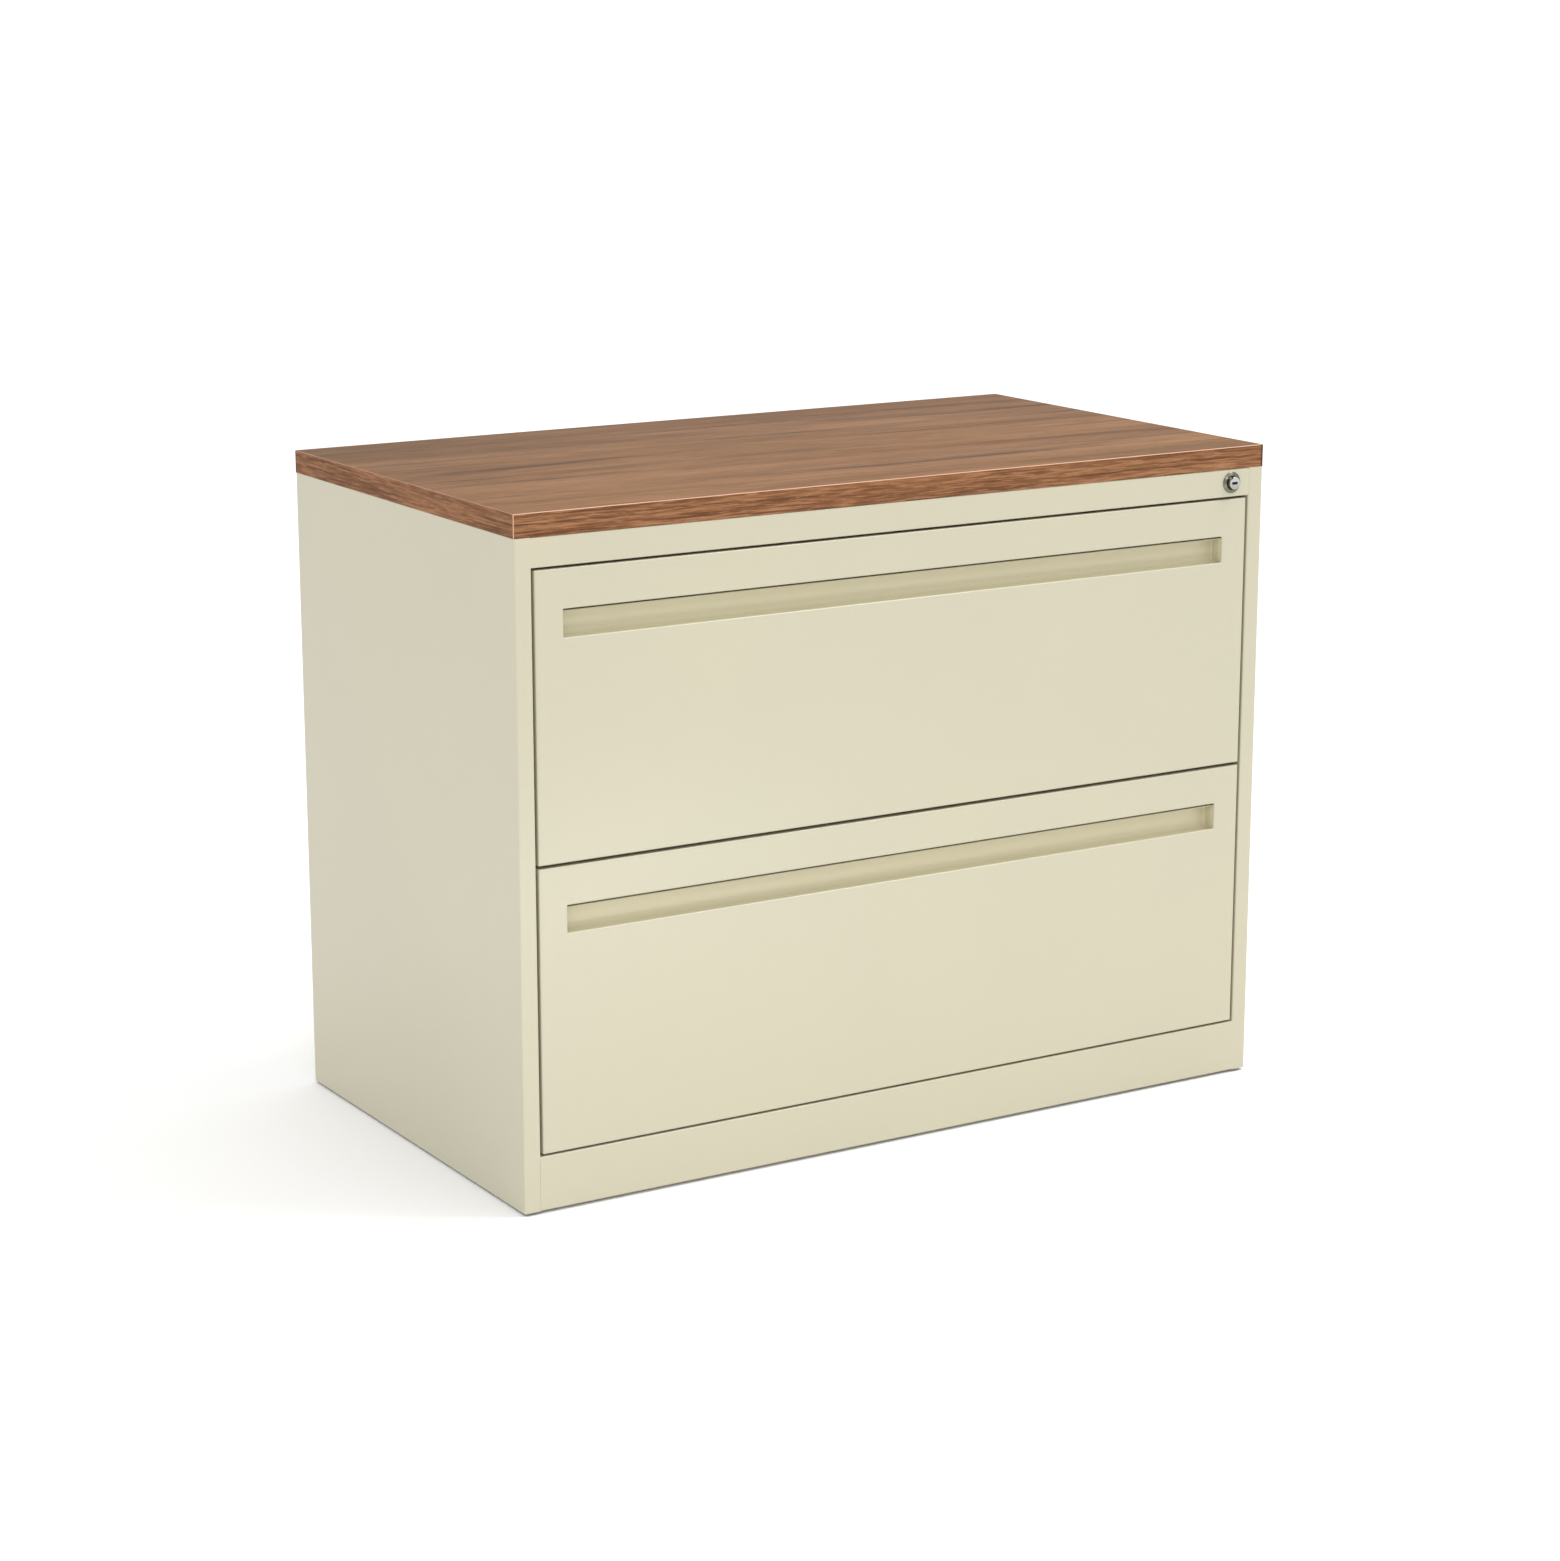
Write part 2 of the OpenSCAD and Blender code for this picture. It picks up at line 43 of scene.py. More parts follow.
# Sizes of the cabinet, as in the CAD model. Depths are measured back from the drawer fronts.
FRONT = -254.0
BACK = 254.0
SIDE = 457.2
OPENING = 438.5
CASE_TOP = 687.2
TOP = 711.2
FLOOR_GAP = 3.0
RAIL_Z = 657.0
BASE_TOP = 60.2
SHEET = 1.0
BEND = 1.8
FRONT_HALF = 435.5
FRONT_H = 294.6
DRAWER_Z = {"bottom": 62.2, "top": 360.0}
PULL_HALF = 404.0
PULL_TOP = 254.1
PULL_H = 28.2
PULL_DEPTH = 18.0
BAND = 1.2
LOCK_X = 414.7
LOCK_Z = 672.7
PLUG_OUT = -6.5


# ---------- materials ----------

class Look:
    """A node material, put together with short calls. Lengths are metres on the object."""

    def __init__(self, name, **shader):
        self.mat = bpy.data.materials.new(name)
        self.mat.use_nodes = True
        self.tree = self.mat.node_tree
        self.shader = self.tree.nodes["Principled BSDF"]
        for key, value in shader.items():
            self.shader.inputs[key.replace("_", " ")].default_value = value
        self.place = self.node("ShaderNodeTexCoord").outputs["Object"]

    def node(self, kind, inputs=None, **settings):
        made = self.tree.nodes.new(kind)
        for key, value in settings.items():
            setattr(made, key, value)
        for key, value in (inputs or {}).items():
            if isinstance(value, bpy.types.NodeSocket):
                self.tree.links.new(value, made.inputs[key])
            else:
                made.inputs[key].default_value = value
        return made

    def noise(self, scale, detail=2.0, rough=0.5, warp=0.0, shift=0.0):
        """Noise whose grains measure 1 / scale metres along each axis."""
        scale = scale if isinstance(scale, tuple) else (scale,) * 3
        spot = self.node("ShaderNodeMapping", {"Vector": self.place, "Scale": scale,
                                               "Location": (shift, shift * 0.7, shift * 1.3)})
        return self.node("ShaderNodeTexNoise", {"Vector": spot.outputs[0], "Scale": 1.0, "Detail": detail,
                                                "Roughness": rough, "Distortion": warp}).outputs["Fac"]

    def span(self, fac, low, high, start=0.3, end=0.7):
        """fac from start to end becomes low to high."""
        return self.node("ShaderNodeMapRange", {"Value": fac, "From Min": start, "From Max": end,
                                                "To Min": low, "To Max": high}).outputs["Result"]

    def ramp(self, fac, *stops):
        made = self.node("ShaderNodeValToRGB", {"Fac": fac})
        band = made.color_ramp
        band.interpolation = "EASE"
        for _ in stops[2:]:
            band.elements.new(0.5)
        for spot, (where, colour) in zip(band.elements, stops):
            spot.position = where
            spot.color = (*colour, 1.0)
        return made.outputs["Color"]

    def mix(self, fac, a, b, blend="MIX"):
        made = self.node("ShaderNodeMix", data_type="RGBA", blend_type=blend)
        for socket, value in ((made.inputs[0], fac), (made.inputs[6], a), (made.inputs[7], b)):
            if isinstance(value, bpy.types.NodeSocket):
                self.tree.links.new(value, socket)
            elif isinstance(value, tuple):
                socket.default_value = (*value, 1.0)
            else:
                socket.default_value = value
        return made.outputs[2]

    def sum(self, a, b, op="ADD"):
        made = self.node("ShaderNodeMath", operation=op)
        for socket, value in zip(made.inputs, (a, b)):
            if isinstance(value, bpy.types.NodeSocket):
                self.tree.links.new(value, socket)
            else:
                socket.default_value = value
        return made.outputs[0]

    def finish(self, colour=None, rough=None, height=None, depth=0.0001, strength=1.0):
        for key, value in (("Base Color", colour), ("Roughness", rough)):
            if value is not None:
                self.tree.links.new(value, self.shader.inputs[key])
        if height is not None:
            bump = self.node("ShaderNodeBump", {"Height": height, "Distance": depth, "Strength": strength})
            self.tree.links.new(bump.outputs[0], self.shader.inputs["Normal"])
        return self.mat


def scaled(colour, k):
    return tuple(c * k for c in colour)


def powder_coat(name, colour, rough):
    """Fine orange peel with a slightly cloudy, faintly speckled colour."""
    look = Look(name, IOR=1.5, Coat_Weight=0.15, Coat_Roughness=0.2)
    cloud = look.noise(3.2, detail=3.0, warp=0.4)
    speck = look.noise(1900.0, detail=1.0)
    peel = look.noise(420.0, detail=2.5, rough=0.55)
    wide = look.noise(28.0, detail=2.0, shift=3.0)
    tone = look.mix(look.span(cloud, 0.0, 1.0), scaled(colour, 0.985),
                    (colour[0] * 1.015, colour[1] * 1.015, colour[2] * 1.0))
    tone = look.mix(look.span(speck, 0.0, 0.2, 0.55, 0.8), tone, scaled(colour, 0.9))
    return look.finish(tone, look.span(look.sum(peel, wide), rough - 0.02, rough + 0.03, 0.7, 1.3),
                       look.sum(peel, look.sum(speck, 0.25, "MULTIPLY")), 0.00008, 0.1)


def zinc(name, colour, rough, grain):
    """Rolled and plated steel: drawn-out streaks, spangle and fine scratches along grain."""
    look = Look(name, Metallic=1.0)
    streak = look.noise(grain, detail=3.0)
    spangle = look.node("ShaderNodeTexVoronoi", {"Vector": look.place, "Scale": 260.0}).outputs["Color"]
    haze = look.noise(45.0, detail=3.0, shift=2.0)
    tone = look.mix(look.span(haze, 0.0, 1.0), scaled(colour, 0.86), colour)
    tone = look.mix(0.07, tone, spangle, "SOFT_LIGHT")
    tone = look.mix(look.span(streak, 0.0, 0.25), tone, scaled(colour, 0.72))
    return look.finish(tone, look.span(look.sum(streak, haze), rough - 0.08, rough + 0.12, 0.7, 1.3),
                       streak, 0.00004, 0.5)


def laminate():
    """Walnut print: wide soft bands, darker drawn-out streaks, and fine grain along the width."""
    look = Look("wood_laminate", IOR=1.46, Specular_IOR_Level=0.06)
    bands = look.noise((0.8, 4.5, 4.5), detail=2.0, rough=0.5, warp=0.3)
    rings = look.noise((1.3, 17.0, 17.0), detail=3.0, rough=0.6, warp=0.5, shift=5.0)
    veins = look.noise((1.5, 36.0, 36.0), detail=5.0, rough=0.68, warp=0.35, shift=9.0)
    grain = look.noise((14.0, 330.0, 330.0), detail=3.0, rough=0.7)
    pores = look.noise((45.0, 1100.0, 1100.0), detail=1.0, shift=4.0)
    depth = look.node("ShaderNodeSeparateXYZ", {"Vector": look.place}).outputs["Y"]
    tone = look.ramp(bands, (0.32, (0.118, 0.064, 0.031)), (0.45, (0.205, 0.108, 0.050)),
                     (0.55, (0.255, 0.136, 0.064)), (0.68, (0.172, 0.094, 0.047)))
    # Painted shade: the print darkens towards the back edge of the top.
    tone = look.mix(look.span(depth, 0.0, 0.55, -0.20, 0.25), tone, (0.108, 0.062, 0.034))
    tone = look.mix(look.span(rings, 0.0, 0.50, 0.50, 0.70), tone, (0.088, 0.049, 0.026))
    tone = look.mix(look.span(rings, 0.50, 0.0, 0.30, 0.46), tone, (0.290, 0.150, 0.066))
    tone = look.mix(look.span(veins, 0.0, 0.80, 0.55, 0.66), tone, (0.055, 0.030, 0.017))
    tone = look.mix(look.span(grain, 0.0, 0.45, 0.45, 0.68), tone, (0.085, 0.046, 0.023))
    tone = look.mix(look.span(grain, 0.35, 0.0, 0.32, 0.46), tone, (0.280, 0.150, 0.072))
    tone = look.mix(look.span(pores, 0.0, 0.55, 0.62, 0.76), tone, (0.045, 0.025, 0.016))
    tone = look.mix(1.0, tone, (0.95, 0.87, 0.77), "MULTIPLY")
    return look.finish(tone, look.span(look.sum(grain, rings), 0.46, 0.58, 0.7, 1.3),
                       look.sum(grain, look.span(pores, 0.0, -1.0, 0.62, 0.8)), 0.00006, 0.5)


def edge_band(name, axis, arrises, core_share):
    """The printed band: redder, with fine dashes along it and its far end painted dark as painted shade. Its
    up-facing arrises, and where asked its left end, show the pale core: the real core of a trimmed band, set by
    facing as a painted highlight.
    """
    look = Look(name, IOR=1.46, Specular_IOR_Level=0.1)
    bands = look.noise((4.0, 4.0, 140.0), detail=2.0)
    lines = look.noise((34.0, 34.0, 560.0), detail=3.0, rough=0.7, shift=2.0)
    streaks = look.noise((7.0, 7.0, 360.0), detail=3.0, rough=0.6, shift=6.0)
    tone = look.ramp(bands, (0.34, (0.180, 0.076, 0.033)), (0.50, (0.228, 0.101, 0.044)),
                     (0.66, (0.264, 0.124, 0.058)))
    tone = look.mix(look.span(streaks, 0.0, 0.75, 0.50, 0.62), tone, (0.082, 0.032, 0.014))
    tone = look.mix(look.span(lines, 0.0, 0.60, 0.50, 0.62), tone, (0.100, 0.041, 0.018))
    tone = look.mix(look.span(lines, 0.60, 0.0, 0.36, 0.48), tone, (0.355, 0.180, 0.094))
    side = look.node("ShaderNodeSeparateXYZ", {"Vector": look.node("ShaderNodeNewGeometry").outputs["Normal"]})
    # The pale core goes on the faces turned up and, where asked, to the left: real core, placed as a painted
    # highlight.
    arris = look.span(side.outputs["Z"], 0.0, core_share, 0.20, 0.45)
    if "X" in arrises:
        left = look.sum(side.outputs["X"], -1.0, "MULTIPLY")
        arris = look.sum(arris, look.span(left, 0.0, core_share, 0.25, 0.5), "MAXIMUM")
    core = look.mix(look.span(streaks, 0.0, 1.0), (0.56, 0.33, 0.22), (0.64, 0.40, 0.28))
    along = look.node("ShaderNodeSeparateXYZ", {"Vector": look.place}).outputs[axis]
    end = SIDE if axis == "X" else BACK
    # Painted shade: the last few millimetres at the far end of each band are painted dark.
    end_shade = look.span(along, 0.0, 0.9, (end - 4.0) * MM, (end - 1.3) * MM)
    tone = look.mix(end_shade, look.mix(arris, tone, core), (0.030, 0.014, 0.009))
    return look.finish(tone, look.span(lines, 0.62, 0.50), look.sum(lines, streaks), 0.00012, 0.5)


def nickel(name, colour):
    """Satin plate with faint turning marks and dulled patches."""
    look = Look(name, Metallic=1.0)
    dull = look.noise(240.0, detail=3.0)
    fine = look.noise(2600.0, detail=2.0)
    tone = look.mix(look.span(dull, 0.0, 1.0), scaled(colour, 0.85), colour)
    return look.finish(tone, look.span(look.sum(dull, fine), 0.20, 0.34, 0.7, 1.3), fine, 0.00002, 0.5)


def cast_paint():
    look = Look("weight_paint", IOR=1.45)
    skin = look.noise(300.0, detail=5.0, rough=0.7)
    patch = look.noise(22.0, detail=3.0)
    tone = look.mix(look.span(patch, 0.0, 1.0), (0.030, 0.031, 0.034), (0.060, 0.060, 0.062))
    tone = look.mix(look.span(skin, 0.0, 0.4, 0.6, 0.8), tone, (0.12, 0.085, 0.06))
    return look.finish(tone, look.span(skin, 0.5, 0.75), skin, 0.0006, 0.8)


def rubber():
    look = Look("rubber", IOR=1.4)
    skin = look.noise(900.0, detail=3.0)
    dust = look.noise(70.0, detail=3.0)
    tone = look.mix(look.span(dust, 0.0, 1.0), (0.016, 0.016, 0.017), (0.045, 0.043, 0.040))
    return look.finish(tone, look.span(skin, 0.62, 0.82), skin, 0.0001, 0.6)


PUTTY = (0.454, 0.428, 0.317)
LOOKS = {
    "putty_paint": powder_coat("putty_paint", PUTTY, 0.30),
    # The pocket's paint is a lighter, yellower copy of the putty: painted light, standing in for light that reaches
    # into the recess.
    "pocket_painted_light": powder_coat("pocket_painted_light", (PUTTY[0] * 1.19, PUTTY[1] * 1.16, PUTTY[2] * 1.05), 0.34),
    "inner_paint": powder_coat("inner_paint", scaled(PUTTY, 0.95), 0.47),
    "bare_steel": zinc("bare_steel", (0.63, 0.63, 0.62), 0.42, (300.0, 12.0, 300.0)),
    "bright_steel": zinc("bright_steel", (0.74, 0.75, 0.76), 0.30, (420.0, 10.0, 420.0)),
    "nickel": nickel("nickel", (0.50, 0.49, 0.46)),
    # A dark, olive copy of the nickel for the lock's housing: a painted reflection of dark, putty-coloured
    # surroundings.
    "nickel_painted_dark_reflection": nickel("nickel_painted_dark_reflection", (0.17, 0.165, 0.125)),
    "weight_paint": cast_paint(),
    "wood_laminate": laminate(),
    "wood_edge": edge_band("wood_edge", "X", "XZ", 0.95),
    "wood_edge_sides": edge_band("wood_edge_sides", "Y", "Z", 0.30),
    "rubber": rubber(),
}


# ---------- shapes ----------

class Shape:
    """Vertices and faces in millimetres, gathered before they become one mesh."""

    def __init__(self):
        self.verts, self.faces = [], []

    def add(self, verts, faces):
        first = len(self.verts)
        self.verts += verts
        self.faces += [[first + i for i in face] for face in faces]

    def loft(self, loops, closed=False, caps=False):
        """Joins loops of as many points each."""
        n, count = len(loops[0]), len(loops)
        faces = []
        for k in range(count if closed else count - 1):
            a, b = k * n, (k + 1) % count * n
            faces += [(a + i, a + (i + 1) % n, b + (i + 1) % n, b + i) for i in range(n)]
        if caps:
            faces += [tuple(range(n)), tuple((count - 1) * n + i for i in range(n))]
        self.add([p for loop in loops for p in loop], faces)

    def block(self, low, high):
        (x0, y0, z0), (x1, y1, z1) = low, high
        self.loft([[(x0, y0, z), (x1, y0, z), (x1, y1, z), (x0, y1, z)] for z in (z0, z1)], caps=True)

    def folded(self, path, axis, low, high):
        """A folded sheet pulled along an axis. path is its outer face, and the sheet lies on the path's left."""
        right, left = fold(path)
        n, m = len(right), 2 * len(right)
        put = {"x": lambda p, s: (s, p[0], p[1]), "z": lambda p, s: (p[0], p[1], s)}[axis]
        ring = right + left[::-1]
        faces = [(i, (i + 1) % m, m + (i + 1) % m, m + i) for i in range(m)]
        for i in range(n - 1):
            cap = (i, i + 1, m - 2 - i, m - 1 - i)
            faces += [cap, tuple(m + k for k in cap)]
        self.add([put(p, low) for p in ring] + [put(p, high) for p in ring], faces)

    def lathe(self, profile, x, z, steps=72):
        """Turns (radius, depth) points about an axis along Y."""
        loops = []
        for k in range(steps):
            a = 2 * math.pi * k / steps
            loops.append([(x + r * math.cos(a), FRONT + y, z + r * math.sin(a)) for r, y in profile])
        self.loft(loops, closed=True)

    def mirrored(self):
        self.verts = [(-x, y, z) for x, y, z in self.verts]
        return self

    def make(self, name, body, look, *nodes, slot=None, bevel=0.25):
        """One visible object on a body, in place of CAD nodes."""
        mesh = bpy.data.meshes.new(name)
        mesh.from_pydata([Vector(p) * MM for p in self.verts], [], self.faces)
        tidy = bmesh.new()
        tidy.from_mesh(mesh)
        bmesh.ops.remove_doubles(tidy, verts=tidy.verts, dist=1e-6)
        bmesh.ops.recalc_face_normals(tidy, faces=tidy.faces)
        tidy.to_mesh(mesh)
        tidy.free()
        mesh.validate()
        obj = bpy.data.objects.new(name, mesh)
        bpy.context.scene.collection.objects.link(obj)
        obj.data.materials.append(LOOKS[look])
        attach(obj, body)
        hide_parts(*nodes)
        soften(obj, bevel)
        return obj


def turn(v, angle):
    c, s = math.cos(angle), math.sin(angle)
    return Vector((v.x * c - v.y * s, v.x * s + v.y * c))


def fold(path, steps=5):
    """Both faces of a folded strip, as two lists of as many points. Every bend has the same outer radius."""
    points = [Vector(p) for p in path]
    right, left = [], []
    for i, p in enumerate(points):
        ways = [(points[k + 1] - points[k]).normalized() for k in (i - 1, i) if 0 <= k < len(points) - 1]
        normal = turn(ways[0], math.pi / 2)
        if len(ways) == 1:
            right.append(p)
            left.append(p + normal * SHEET)
            continue
        angle = math.atan2(ways[0].cross(ways[1]), ways[0].dot(ways[1]))
        side = 1 if angle > 0 else -1
        near = BEND if side > 0 else BEND - SHEET
        centre = p + (ways[1] - ways[0]).normalized() * near / math.cos(angle / 2)
        for k in range(steps + 1):
            out = turn(normal * -side, angle * k / steps)
            right.append(centre + out * near)
            left.append(centre + out * (near - side * SHEET))
    return right, left


def rect_loop(x0, x1, z0, z1, r, depth, steps=3):
    """A rectangle with rounded corners, standing at a depth behind the drawer fronts."""
    loop = []
    for x, z, start in ((x1 - r, z0 + r, -90), (x1 - r, z1 - r, 0), (x0 + r, z1 - r, 90), (x0 + r, z0 + r, 180)):
        for k in range(steps + 1):
            a = math.radians(start + 90 * k / steps)
            loop.append((x + r * math.cos(a), FRONT + depth, z + r * math.sin(a)))
    return loop


def soften(obj, width):
    """Rounds the edges over 35 degrees and keeps the flat faces flat in the shading."""
    mesh = obj.data
    mesh.polygons.foreach_set("use_smooth", [True] * len(mesh.polygons))
    if width:
        bevel = obj.modifiers.new("edges", "BEVEL")
        bevel.width = width * MM
        bevel.segments = 2
        bevel.limit_method = "ANGLE"
        bevel.angle_limit = math.radians(35.0)
    even = obj.modifiers.new("shading", "WEIGHTED_NORMAL")
    even.keep_sharp = True


def cut_away(obj, *shapes):
    """Takes the shapes out of an object's mesh, ahead of its own modifiers."""
    cutters = []
    for k, shape in enumerate(shapes):
        mesh = bpy.data.meshes.new("cutter")
        mesh.from_pydata([Vector(p) * MM for p in shape.verts], [], shape.faces)
        made = bmesh.new()
        made.from_mesh(mesh)
        bmesh.ops.recalc_face_normals(made, faces=made.faces)
        made.to_mesh(mesh)
        made.free()
        cutter = bpy.data.objects.new("cutter", mesh)
        bpy.context.scene.collection.objects.link(cutter)
        cutters.append(cutter)
        carve = obj.modifiers.new(f"carve{k}", "BOOLEAN")
        carve.operation = "DIFFERENCE"
        carve.solver = "EXACT"
        carve.object = cutter
    kept = [m for m in obj.modifiers if m.type != "BOOLEAN"]
    for m in kept:
        m.show_viewport = False
    graph = bpy.context.evaluated_depsgraph_get()
    graph.update()
    obj.data = bpy.data.meshes.new_from_object(obj.evaluated_get(graph))
    for m in list(obj.modifiers):
        if m.type == "BOOLEAN":
            obj.modifiers.remove(m)
    for m in kept:
        m.show_viewport = True
    for cutter in cutters:
        bpy.data.objects.remove(cutter)


# ---------- case ----------

def side_panel():
    panel = Shape()
    panel.folded([(OPENING, FRONT + 18), (OPENING, FRONT), (SIDE, FRONT), (SIDE, BACK - 1), (OPENING + 4, BACK - 1)],
                 "z", FLOOR_GAP, CASE_TOP)
    for z in (CASE_TOP - 1, FLOOR_GAP):
        panel.block((OPENING + 3, FRONT + 20, z), (SIDE - 0.5, BACK - 4, z + 1))
    return panel


side_panel().make("right_side", "case", "putty_paint", "right_side_panel")
side_panel().mirrored().make("left_side", "case", "putty_paint", "left_side_panel")

# The rail and the plinth are welded flush at one end each, and show a shallow seam at the other.
SEAM = OPENING + 0.7
WELDED = OPENING + BEND
rail = Shape()
rail.folded([(FRONT + 16, CASE_TOP), (FRONT, CASE_TOP), (FRONT, RAIL_Z), (FRONT + 16, RAIL_Z)],
            "x", -WELDED, SEAM)
rail = rail.make("rail", "case", "putty_paint", "top_rail", bevel=0.4)
bore, clearance = Shape(), Shape()
bore.loft([[(LOCK_X + 9.6 * math.cos(math.pi * k / 24), y, LOCK_Z + 9.6 * math.sin(math.pi * k / 24))
            for k in range(48)] for y in (FRONT - 5, FRONT + 10)], caps=True)
clearance.block((LOCK_X - 15, FRONT + 6, RAIL_Z + 2), (SEAM + 1, FRONT + 17, CASE_TOP + 1))
cut_away(rail, bore, clearance)

plinth = Shape()
plinth.folded([(FRONT + 16, BASE_TOP), (FRONT, BASE_TOP), (FRONT, FLOOR_GAP), (FRONT + 16, FLOOR_GAP)],
              "x", -SEAM, WELDED)
plinth.make("plinth", "case", "putty_paint", "base_front_panel", bevel=0.4)

# The back is one sheet with its top and bottom folded forward.
back = Shape()
back.block((-SIDE + 2, BACK - 1, FLOOR_GAP), (SIDE - 2, BACK, CASE_TOP))
for z in (FLOOR_GAP, CASE_TOP - 2):
    back.block((-SIDE + 24, BACK - 14, z), (SIDE - 24, BACK - 0.5, z + 1))
back.make("back", "case", "putty_paint", "back_panel")


def edge_strip(name, look, node, half, ends, put):
    """A band of the worktop with rounded outer arrises. put places (distance along it, depth in from its face)."""
    r = 0.9
    levels = [(0.3, CASE_TOP), (0.09, CASE_TOP + 0.09), (0.0, CASE_TOP + 0.3)]
    levels += [(r - r * math.cos(a), TOP - r + r * math.sin(a)) for a in [math.pi / 8 * k for k in range(5)]]
    loops = []
    for inset, z in levels:
        near = max(r - inset, 0.02)
        corner = [math.pi / 8 * k for k in range(5)] if ends else []
        loop = [(-half + r - near * math.cos(a), r - near * math.sin(a)) for a in corner]
        loop = loop or [(-half, inset)]
        loop = [(-half + (inset if ends else 0.0), BAND)] + loop
        loop += [(-s, d) for s, d in loop[::-1]]
        loops.append([(*put(s, d), z) for s, d in loop])
    strip = Shape()
    strip.loft(loops, caps=True)
    return strip.make(name, "case", look, node, slot="wood_edge", bevel=0.0)


# The front and rear bands cover the ends of the side bands.
edge_strip("front_band", "wood_edge", "front_edge_band", SIDE, True, lambda s, d: (s, FRONT + d))
edge_strip("rear_band", "wood_edge", "rear_edge_band", SIDE, True, lambda s, d: (s, BACK - d))
edge_strip("right_band", "wood_edge_sides", "side_edge_bands", BACK - BAND, False, lambda s, d: (SIDE - d, s))
edge_strip("left_band", "wood_edge_sides", "side_edge_bands", BACK - BAND, False, lambda s, d: (d - SIDE, s))

# The lock's housing, turned from its bore outwards.
barrel = Shape()
barrel.lathe([(6.86, 17.0), (6.86, -1.5), (7.3, -2.05), (8.0, -2.3), (8.9, -2.4), (9.3, -2.25), (9.6, -1.9),
              (10.9, -1.1), (11.35, -0.75), (11.5, -0.4), (11.5, 0.0), (9.3, 0.0), (9.3, 16.6), (8.9, 17.0)],
             LOCK_X, LOCK_Z)
# Painted reflection: the housing takes the dark, olive copy of the nickel.
barrel.make("lock_barrel", "case", "nickel_painted_dark_reflection", "lock_housing", slot="nickel", bevel=0.0)


# The plug stands out of its housing, with an index groove along its side. Its face is a little dished, and its keyway
# is open to a black block deep inside, where the wafer stack sits: painted shade for the dark depth of the keyhole.
def keyway(grow, depth):
    return rect_loop(LOCK_X - 3.6 - grow, LOCK_X + 3.6 + grow, LOCK_Z - 1.35 - grow, LOCK_Z + 1.35 + grow,
                     0.5 + grow, depth, steps=11)


def ring(r, depth):
    """A circle of as many points as the keyway's outline, which start at its lower right corner."""
    return [(LOCK_X + r * math.cos(a), FRONT + depth, LOCK_Z + r * math.sin(a))
            for a in [math.radians(-90 + 90 * (k // 12) + 90 * (k % 12) / 12 + 3.75) for k in range(48)]]


plug, groove = Shape(), Shape()
plug.loft([ring(6.8, 16.0)] + [ring(r, PLUG_OUT + d) for r, d in ((6.8, 0.5), (6.55, 0.1), (6.2, 0.0), (5.7, 0.08),
                                                                  (5.2, 0.25))]
          + [keyway(0.25, PLUG_OUT + 0.25), keyway(0.0, PLUG_OUT + 0.5), keyway(0.0, 6.0)], caps=True)
plug = plug.make("plug", "lock_cylinder", "nickel", "lock_plug", bevel=0.0)
groove.loft([[(LOCK_X - 4.1 + 1.3 * math.cos(math.pi * k / 12), y, LOCK_Z + 5.6 + 1.3 * math.sin(math.pi * k / 12))
              for k in range(24)] for y in (FRONT + PLUG_OUT - 2, FRONT - 1.8)], caps=True)
cut_away(plug, groove)
# Painted shade: a black block fills the keyway behind the plug's face.
keyway_shade = Shape()
keyway_shade.loft([keyway(-0.02, d) for d in (PLUG_OUT + 3.0, 5.9)], caps=True)
keyway_shade.make("keyway_shade", "lock_cylinder", "rubber", "lock_plug", slot="nickel", bevel=0.0)


# ---------- drawer fronts ----------

def drawer_front(row):
    """One loop after the other: in over the folded edges, round the lip of the recess, and back inside."""
    z0 = DRAWER_Z[row]
    lip = 1.8

    def edge(inset, depth):
        return rect_loop(inset - FRONT_HALF, FRONT_HALF - inset, z0 + inset, z0 + FRONT_H - inset,
                         max(0.9 - 0.3 * inset, 0.25), depth)

    def mouth(outset, depth):
        top = z0 + PULL_TOP
        return rect_loop(-PULL_HALF - outset, PULL_HALF + outset, top - PULL_H - outset, top + outset,
                         0.8 + outset, depth)

    loops = [edge(0, 21)]
    loops += [edge(BEND - math.cos(a) * BEND, BEND - math.sin(a) * BEND)
              for a in [math.pi / 10 * k for k in range(6)]]
    loops += [mouth(lip - lip * math.sin(a), lip - lip * math.cos(a)) for a in [math.pi / 10 * k for k in range(6)]]
    loops += [mouth(0, 2.6), mouth(SHEET, 2.6)]
    inner = lip - SHEET
    loops += [mouth(lip - inner * math.sin(a), lip - inner * math.cos(a))
              for a in [math.pi / 4 * k for k in (2, 1, 0)]]
    inner = BEND - SHEET
    loops += [edge(BEND - math.cos(a) * inner, BEND - math.sin(a) * inner)
              for a in [math.pi / 6 * k for k in (3, 2, 1, 0)]]
    loops += [edge(SHEET, 21)]
    front = Shape()
    front.loft(loops, closed=True)
    front.make(f"{row}_front", f"{row}_drawer", "putty_paint", f"{row}_drawer_front", bevel=0.15)


